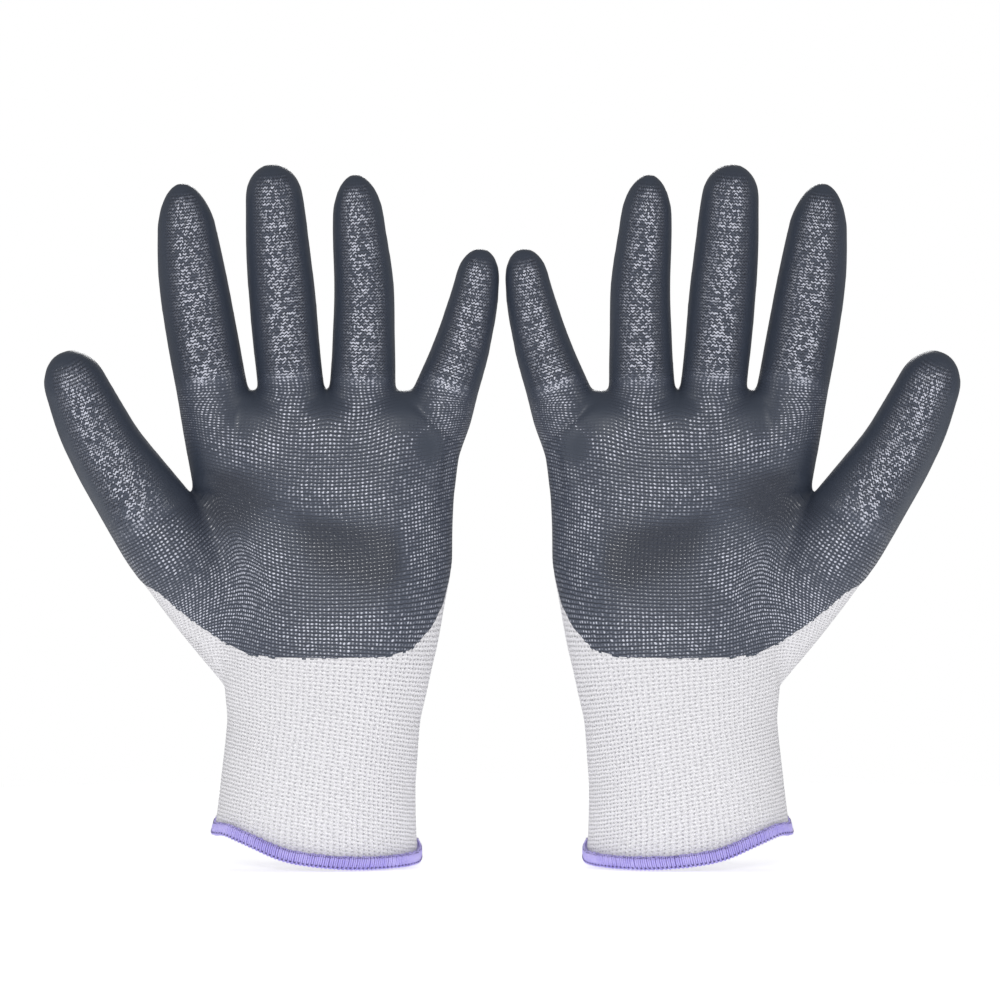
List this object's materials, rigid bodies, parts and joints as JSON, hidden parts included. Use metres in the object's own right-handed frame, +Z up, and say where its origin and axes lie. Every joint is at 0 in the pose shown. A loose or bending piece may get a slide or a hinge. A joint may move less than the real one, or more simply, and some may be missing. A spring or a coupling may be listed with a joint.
{
  "type": "work gloves",
  "caption": "Pair of knitted work gloves with rubber-dipped palms and fingertips, elastic cuffs and overlocked hems, filled out as on a wearer's hands.",
  "frame": {"origin": "bottom centre of the pair: midway between the gloves, at the height of the hems' lowest point", "axes": "+Z up towards the fingertips, +X towards the right glove (the right-hand one seen from the palm side), -Y is the palm side"},
  "size_m": [0.3248, 0.0498, 0.2513],
  "materials": {
    "nylon_knit": "white seamless nylon knit, matt, fine ribs",
    "elastic_knit": "white nylon knit with elastic yarn, matt, ribbed",
    "dipped_coating": "slate grey dipped nitrile rubber, satin, crinkled over the knit",
    "overlock_thread": "lavender overlock thread, soft sheen"
  },
  "bodies": {
    "left_hand": {"left_hand_liner": "nylon_knit", "left_elastic_cuff": "elastic_knit", "left_overlock_hem": "overlock_thread", "left_palm_coating": "dipped_coating"},
    "left_index_root": {"left_index_root_liner": "nylon_knit", "left_index_root_coating": "dipped_coating"},
    "left_index_tip": {"left_index_tip_liner": "nylon_knit", "left_index_tip_coating": "dipped_coating"},
    "left_middle_root": {"left_middle_root_liner": "nylon_knit", "left_middle_root_coating": "dipped_coating"},
    "left_middle_tip": {"left_middle_tip_liner": "nylon_knit", "left_middle_tip_coating": "dipped_coating"},
    "left_ring_root": {"left_ring_root_liner": "nylon_knit", "left_ring_root_coating": "dipped_coating"},
    "left_ring_tip": {"left_ring_tip_liner": "nylon_knit", "left_ring_tip_coating": "dipped_coating"},
    "left_little_root": {"left_little_root_liner": "nylon_knit", "left_little_root_coating": "dipped_coating"},
    "left_little_tip": {"left_little_tip_liner": "nylon_knit", "left_little_tip_coating": "dipped_coating"},
    "left_thumb_root": {"left_thumb_root_liner": "nylon_knit", "left_thumb_root_coating": "dipped_coating"},
    "left_thumb_tip": {"left_thumb_tip_liner": "nylon_knit", "left_thumb_tip_coating": "dipped_coating"},
    "right_hand": {"right_hand_liner": "nylon_knit", "right_elastic_cuff": "elastic_knit", "right_overlock_hem": "overlock_thread", "right_palm_coating": "dipped_coating"},
    "right_index_root": {"right_index_root_liner": "nylon_knit", "right_index_root_coating": "dipped_coating"},
    "right_index_tip": {"right_index_tip_liner": "nylon_knit", "right_index_tip_coating": "dipped_coating"},
    "right_middle_root": {"right_middle_root_liner": "nylon_knit", "right_middle_root_coating": "dipped_coating"},
    "right_middle_tip": {"right_middle_tip_liner": "nylon_knit", "right_middle_tip_coating": "dipped_coating"},
    "right_ring_root": {"right_ring_root_liner": "nylon_knit", "right_ring_root_coating": "dipped_coating"},
    "right_ring_tip": {"right_ring_tip_liner": "nylon_knit", "right_ring_tip_coating": "dipped_coating"},
    "right_little_root": {"right_little_root_liner": "nylon_knit", "right_little_root_coating": "dipped_coating"},
    "right_little_tip": {"right_little_tip_liner": "nylon_knit", "right_little_tip_coating": "dipped_coating"},
    "right_thumb_root": {"right_thumb_root_liner": "nylon_knit", "right_thumb_root_coating": "dipped_coating"},
    "right_thumb_tip": {"right_thumb_tip_liner": "nylon_knit", "right_thumb_tip_coating": "dipped_coating"}
  },
  "joints": [
    {"name": "left_index_knuckle_bend", "type": "hinge", "parent": "left_hand", "child": "left_index_root", "pos_m": [-0.10345, -0.01314, 0.17611], "axis": [0.9799, 0, 0.1994], "range_deg": [0, 75], "stiffness_Nm_per_rad": 0.02},
    {"name": "left_index_middle_bend", "type": "hinge", "parent": "left_index_root", "child": "left_index_tip", "pos_m": [-0.10875, -0.0138, 0.20185], "axis": [0.9877, 0, 0.1567], "range_deg": [0, 90], "stiffness_Nm_per_rad": 0.012},
    {"name": "left_middle_knuckle_bend", "type": "hinge", "parent": "left_hand", "child": "left_middle_root", "pos_m": [-0.07624, -0.01245, 0.17716], "axis": [0.9959, 0, 0.0906], "range_deg": [0, 75], "stiffness_Nm_per_rad": 0.02},
    {"name": "left_middle_middle_bend", "type": "hinge", "parent": "left_middle_root", "child": "left_middle_tip", "pos_m": [-0.07872, -0.01356, 0.20435], "axis": [0.9966, 0, 0.082], "range_deg": [0, 90], "stiffness_Nm_per_rad": 0.012},
    {"name": "left_ring_knuckle_bend", "type": "hinge", "parent": "left_hand", "child": "left_ring_root", "pos_m": [-0.04981, -0.01125, 0.17619], "axis": [0.9998, 0, -0.0175], "range_deg": [0, 75], "stiffness_Nm_per_rad": 0.02},
    {"name": "left_ring_middle_bend", "type": "hinge", "parent": "left_ring_root", "child": "left_ring_tip", "pos_m": [-0.04927, -0.01187, 0.20358], "axis": [0.9994, 0, 0.0346], "range_deg": [0, 90], "stiffness_Nm_per_rad": 0.012},
    {"name": "left_little_knuckle_bend", "type": "hinge", "parent": "left_hand", "child": "left_little_root", "pos_m": [-0.01982, -0.01015, 0.17373], "axis": [0.9426, 0, -0.3338], "range_deg": [0, 75], "stiffness_Nm_per_rad": 0.02},
    {"name": "left_little_middle_bend", "type": "hinge", "parent": "left_little_root", "child": "left_little_tip", "pos_m": [-0.01286, -0.00951, 0.19312], "axis": [0.967, 0, -0.2549], "range_deg": [0, 90], "stiffness_Nm_per_rad": 0.012},
    {"name": "left_thumb_knuckle_bend", "type": "hinge", "parent": "left_hand", "child": "left_thumb_root", "pos_m": [-0.12556, -0.0194, 0.12594], "axis": [0.8387, 0, 0.5446], "range_deg": [0, 45], "stiffness_Nm_per_rad": 0.02},
    {"name": "left_thumb_middle_bend", "type": "hinge", "parent": "left_thumb_root", "child": "left_thumb_tip", "pos_m": [-0.14162, -0.02113, 0.15018], "axis": [0.8844, 0, 0.4668], "range_deg": [0, 65], "stiffness_Nm_per_rad": 0.012},
    {"name": "right_index_knuckle_bend", "type": "hinge", "parent": "right_hand", "child": "right_index_root", "pos_m": [0.10345, -0.01314, 0.17611], "axis": [0.9799, 0, -0.1994], "range_deg": [0, 75], "stiffness_Nm_per_rad": 0.02},
    {"name": "right_index_middle_bend", "type": "hinge", "parent": "right_index_root", "child": "right_index_tip", "pos_m": [0.10875, -0.0138, 0.20185], "axis": [0.9877, 0, -0.1567], "range_deg": [0, 90], "stiffness_Nm_per_rad": 0.012},
    {"name": "right_middle_knuckle_bend", "type": "hinge", "parent": "right_hand", "child": "right_middle_root", "pos_m": [0.07624, -0.01245, 0.17716], "axis": [0.9959, 0, -0.0906], "range_deg": [0, 75], "stiffness_Nm_per_rad": 0.02},
    {"name": "right_middle_middle_bend", "type": "hinge", "parent": "right_middle_root", "child": "right_middle_tip", "pos_m": [0.07872, -0.01356, 0.20435], "axis": [0.9966, 0, -0.082], "range_deg": [0, 90], "stiffness_Nm_per_rad": 0.012},
    {"name": "right_ring_knuckle_bend", "type": "hinge", "parent": "right_hand", "child": "right_ring_root", "pos_m": [0.04981, -0.01125, 0.17619], "axis": [0.9998, 0, 0.0175], "range_deg": [0, 75], "stiffness_Nm_per_rad": 0.02},
    {"name": "right_ring_middle_bend", "type": "hinge", "parent": "right_ring_root", "child": "right_ring_tip", "pos_m": [0.04927, -0.01187, 0.20358], "axis": [0.9994, 0, -0.0346], "range_deg": [0, 90], "stiffness_Nm_per_rad": 0.012},
    {"name": "right_little_knuckle_bend", "type": "hinge", "parent": "right_hand", "child": "right_little_root", "pos_m": [0.01982, -0.01015, 0.17373], "axis": [0.9426, 0, 0.3338], "range_deg": [0, 75], "stiffness_Nm_per_rad": 0.02},
    {"name": "right_little_middle_bend", "type": "hinge", "parent": "right_little_root", "child": "right_little_tip", "pos_m": [0.01286, -0.00951, 0.19312], "axis": [0.967, 0, 0.2549], "range_deg": [0, 90], "stiffness_Nm_per_rad": 0.012},
    {"name": "right_thumb_knuckle_bend", "type": "hinge", "parent": "right_hand", "child": "right_thumb_root", "pos_m": [0.12556, -0.0194, 0.12594], "axis": [0.8387, 0, -0.5446], "range_deg": [0, 45], "stiffness_Nm_per_rad": 0.02},
    {"name": "right_thumb_middle_bend", "type": "hinge", "parent": "right_thumb_root", "child": "right_thumb_tip", "pos_m": [0.14162, -0.02113, 0.15018], "axis": [0.8844, 0, -0.4668], "range_deg": [0, 65], "stiffness_Nm_per_rad": 0.012},
    {"name": "right_glove_apart", "type": "slide", "parent": "left_hand", "child": "right_hand", "axis": [1, 0, 0], "range_m": [0, 0.04]}
  ]
}
